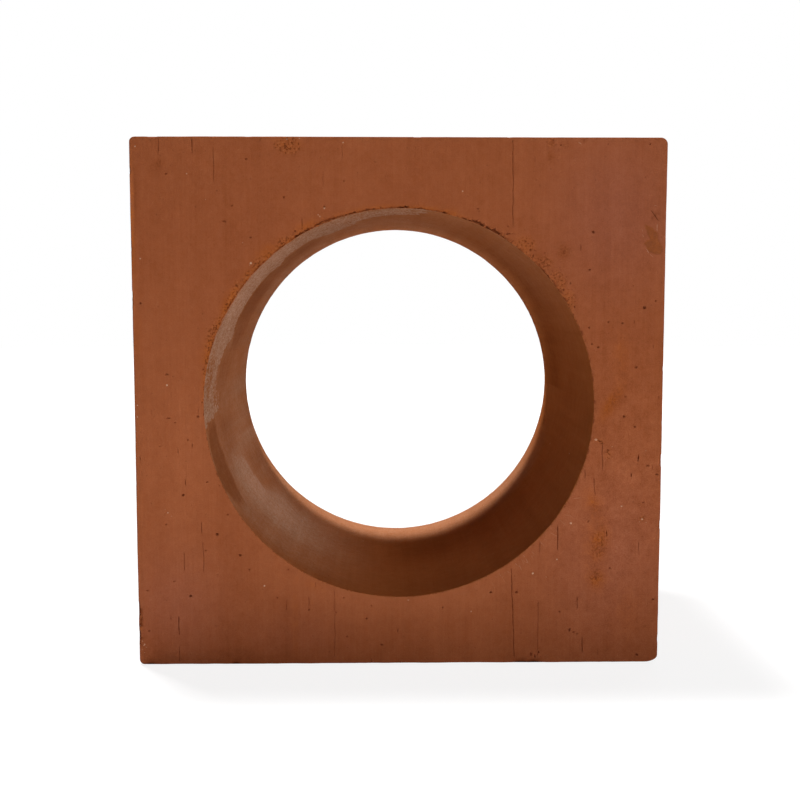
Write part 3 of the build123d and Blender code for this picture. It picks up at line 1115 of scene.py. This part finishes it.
def clay_material():
    """Matte fired clay: streaked by the wire on its faces, drawn along Y on its sides and in its bore."""
    material = bpy.data.materials.new("fired_clay")
    n = Nodes(material)
    coordinates = n.make("ShaderNodeTexCoord").outputs["Object"]
    place_mm = n.vector("SCALE", {0: coordinates, "Scale": 1 / MM}).outputs[0]
    cut, wall, torn_places, grit, coat = (n.field(name) for name in ("cut", "wall", "torn", "grit", "coat"))
    drawn = n.less(cut)

    sand = n.grain(place_mm, 0.45, 2.0)
    crumb = n.grain(place_mm, 0.85, 2.0, 0.5)
    mottle = n.grain(place_mm, 4.5, 4.0, 0.85)
    cloud = n.grain(place_mm, 26.0, 2.0)
    wire = n.grain(place_mm, (0.8, 20.0, 34.0), 3.0, 0.65)
    wide_wire = n.grain(place_mm, (4.0, 20.0, 120.0), 2.0, 0.5)
    drag = n.grain(place_mm, (1.1, 60.0, 1.1), 3.0, 0.65)
    wide_drag = n.grain(place_mm, (6.0, 160.0, 6.0), 2.0, 0.5)
    flour = n.grain(place_mm, (0.9, 2.4, 0.9), 3.0, 0.7)
    hue = n.grain(place_mm, (2.4, 2.4, 3.6), 4.0, 0.8)
    pore = n.grains(place_mm, 2.3, 0.5) * n.ramp(hue, -0.04, 0.14)
    bright_grain = n.grains(place_mm, 2.9, 0.34) * n.ramp(mottle, -0.06, 0.12)

    streaks = cut * (0.16 * wire + 0.12 * wide_wire) + drawn * (0.16 * drag + 0.2 * wide_drag)
    speckle = grit * (0.28 * sand + 0.38 * mottle)
    brightness = n.field("tone") + streaks + speckle + 0.12 * cloud + 0.95 * wall * flour * coat
    base = n.blend(wall, n.blend(n.field("rosy"), CLAY, ROSY_CLAY), WALL_CLAY)
    coated = n.ramp(coat + 0.9 * mottle + 1.2 * flour, 0.25, 0.75)
    shaded = n.field("shade") * n.less(coated) * (0.8 * mottle + 0.9)
    base = n.blend(shaded, base, SHADE)
    powder = 0.35 * mottle + 1.3 * flour + 0.9 * sand + 0.8
    # Dust, and the painted highlight at the far end of the bore's floor, take the dust colour
    settled = n.math("MAXIMUM", coated, n.field("dust"))
    base = n.blend(n.math("MULTIPLY", settled, powder, use_clamp=True), base, DUST_AND_HIGHLIGHT_COLOUR)
    # Rust stains, and a painted highlight on the front's left arris, in the rust colour
    base = n.blend(n.field("rust") * (5.0 * mottle + 0.9), base, RUST_AND_HIGHLIGHT_COLOUR)
    # Dark places are redder and light ones paler
    channels = {
        name: n.math("POWER", brightness, power) * (share * hue + 1.0)
        for name, power, share in (("X", 1.0, 0.0), ("Y", 1.3, 0.16), ("Z", 1.6, 0.36))
    }
    shift = n.make("ShaderNodeCombineXYZ", channels).outputs[0]
    colour = n.vector("MULTIPLY", {0: base, 1: shift}).outputs[0]
    colour = n.blend(0.3 * pore, colour, PORE)
    colour = n.blend(0.3 * bright_grain * grit, colour, CRUMB)
    crumbly = n.blend(0.28, colour, RUST_AND_HIGHLIGHT_COLOUR)
    crumbly = n.blend(0.45 * n.ramp(crumb, 0.06, 0.17), crumbly, CRUMB)
    crumbly = n.blend(0.85 * n.ramp(crumb, -0.03, -0.13), crumbly, PORE)
    colour = n.blend(torn_places, colour, crumbly)
    # Painted shade in pits, cracks, chips and crevices
    colour = n.blend(n.field("hollow"), colour, HOLLOW_SHADE)
    colour = n.blend(n.field("speck"), colour, SPECK)

    height = 0.06 * sand + 0.07 * mottle + -0.08 * pore + 0.06 * bright_grain
    height += 0.35 * torn_places * crumb + 0.03 * cut * wire + 0.04 * drawn * drag
    bump = n.make("ShaderNodeBump", {"Height": height, "Distance": MM, "Strength": 1.0}).outputs[0]
    shader = n.make("ShaderNodeBsdfPrincipled", {"Base Color": colour, "Normal": bump, "Roughness": 0.95})
    shader.inputs["Specular IOR Level"].default_value = 0.0
    n.make("ShaderNodeOutputMaterial", {"Surface": shader.outputs[0]})
    return material


block_mesh.materials.append(clay_material())
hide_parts("clay_brick")
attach(clay_block, "root")


# Floor, backdrop and light


def floor_material():
    """A pale floor that looks white where no shadow falls, and bounces light as plain paper does."""
    material = bpy.data.materials.new("pale_floor")
    n = Nodes(material)
    paper = n.make("ShaderNodeBsdfDiffuse", {"Color": (0.8, 0.8, 0.8, 1)}).outputs[0]
    faint = n.make("ShaderNodeBsdfDiffuse", {"Color": (0.22, 0.22, 0.22, 1)}).outputs[0]
    coordinates = n.make("ShaderNodeTexCoord").outputs["Object"]
    away = n.vector("LENGTH", {0: coordinates}).outputs["Value"]
    glow_strength = 0.16 * n.ramp(away, 0.4, 1.1) + 0.84
    glow = n.make("ShaderNodeEmission", {"Color": WHITE, "Strength": glow_strength}).outputs[0]
    look = n.make("ShaderNodeAddShader", {0: faint, 1: glow}).outputs[0]
    surface = n.make("ShaderNodeMixShader", {0: n.seen(), 1: paper, 2: look}).outputs[0]
    n.make("ShaderNodeOutputMaterial", {"Surface": surface})
    return material


def make_floor(reach):
    """A round floor under the block."""
    ring = np.arange(96) * 2 * math.pi / 96
    corners = [(reach * math.cos(a), reach * math.sin(a), 0.0) for a in ring]
    mesh = bpy.data.meshes.new("floor")
    mesh.from_pydata(corners, [], [tuple(range(len(corners)))])
    mesh.materials.append(floor_material())
    floor = show("floor", mesh)


def make_world():
    """A white surround that is seen but gives no light of its own."""
    world = bpy.data.worlds.new("surround")
    bpy.context.scene.world = world
    n = Nodes(world)
    back = n.make("ShaderNodeBackground", {"Color": WHITE, "Strength": n.seen()}).outputs[0]
    n.make("ShaderNodeOutputWorld", {"Surface": back})


def soft_light(name, at, size, power):
    """A square soft light that looks at the middle of the block, in metres and watts."""
    lamp = bpy.data.lights.new(name, "AREA")
    lamp.shape = "SQUARE"
    lamp.size = size
    lamp.energy = power
    light = show(name, lamp)
    light.location = at
    light.rotation_euler = (Vector((0, 0, 0.1)) - Vector(at)).to_track_quat("-Z", "Y").to_euler()


make_floor(3.0)
make_world()
soft_light("overhead", (-0.35, 0.36, 2.1), 0.27, 57)
soft_light("front_low_right", (1.2, -1.2, 0.2), 0.5, 6)
soft_light("front_high_right", (0.9, -1.3, 1.0), 0.6, 7.8)
soft_light("behind", (0, 2.0, 0.8), 1.5, 8.5)
soft_light("behind_right", (1.0, 1.7, 0.7), 1.0, 8.5)
soft_light("front_left", (-1.3, -1.1, 0.5), 0.6, 1.6)


# Camera


def make_camera():
    """The photograph's view: a little above the middle, looking slightly down and to the right."""
    data = bpy.data.cameras.new("camera")
    data.sensor_fit = "HORIZONTAL"
    data.sensor_width = 36
    data.lens = 49.9
    data.clip_start = 0.01
    pitch, yaw = 0.0895, 0.0152
    ahead = Vector((math.sin(yaw) * math.cos(pitch), math.cos(yaw) * math.cos(pitch), -math.sin(pitch)))
    right = Vector((math.cos(yaw), -math.sin(yaw), 0))
    up = right.cross(ahead)
    at = Vector((-0.00612, -0.48202, 0.13954))
    camera = show("camera", data)
    camera.matrix_world = Matrix([(right[k], up[k], -ahead[k], at[k]) for k in range(3)] + [(0, 0, 0, 1)])
    bpy.context.scene.camera = camera


make_camera()
bpy.context.scene.view_settings.view_transform = "Standard"
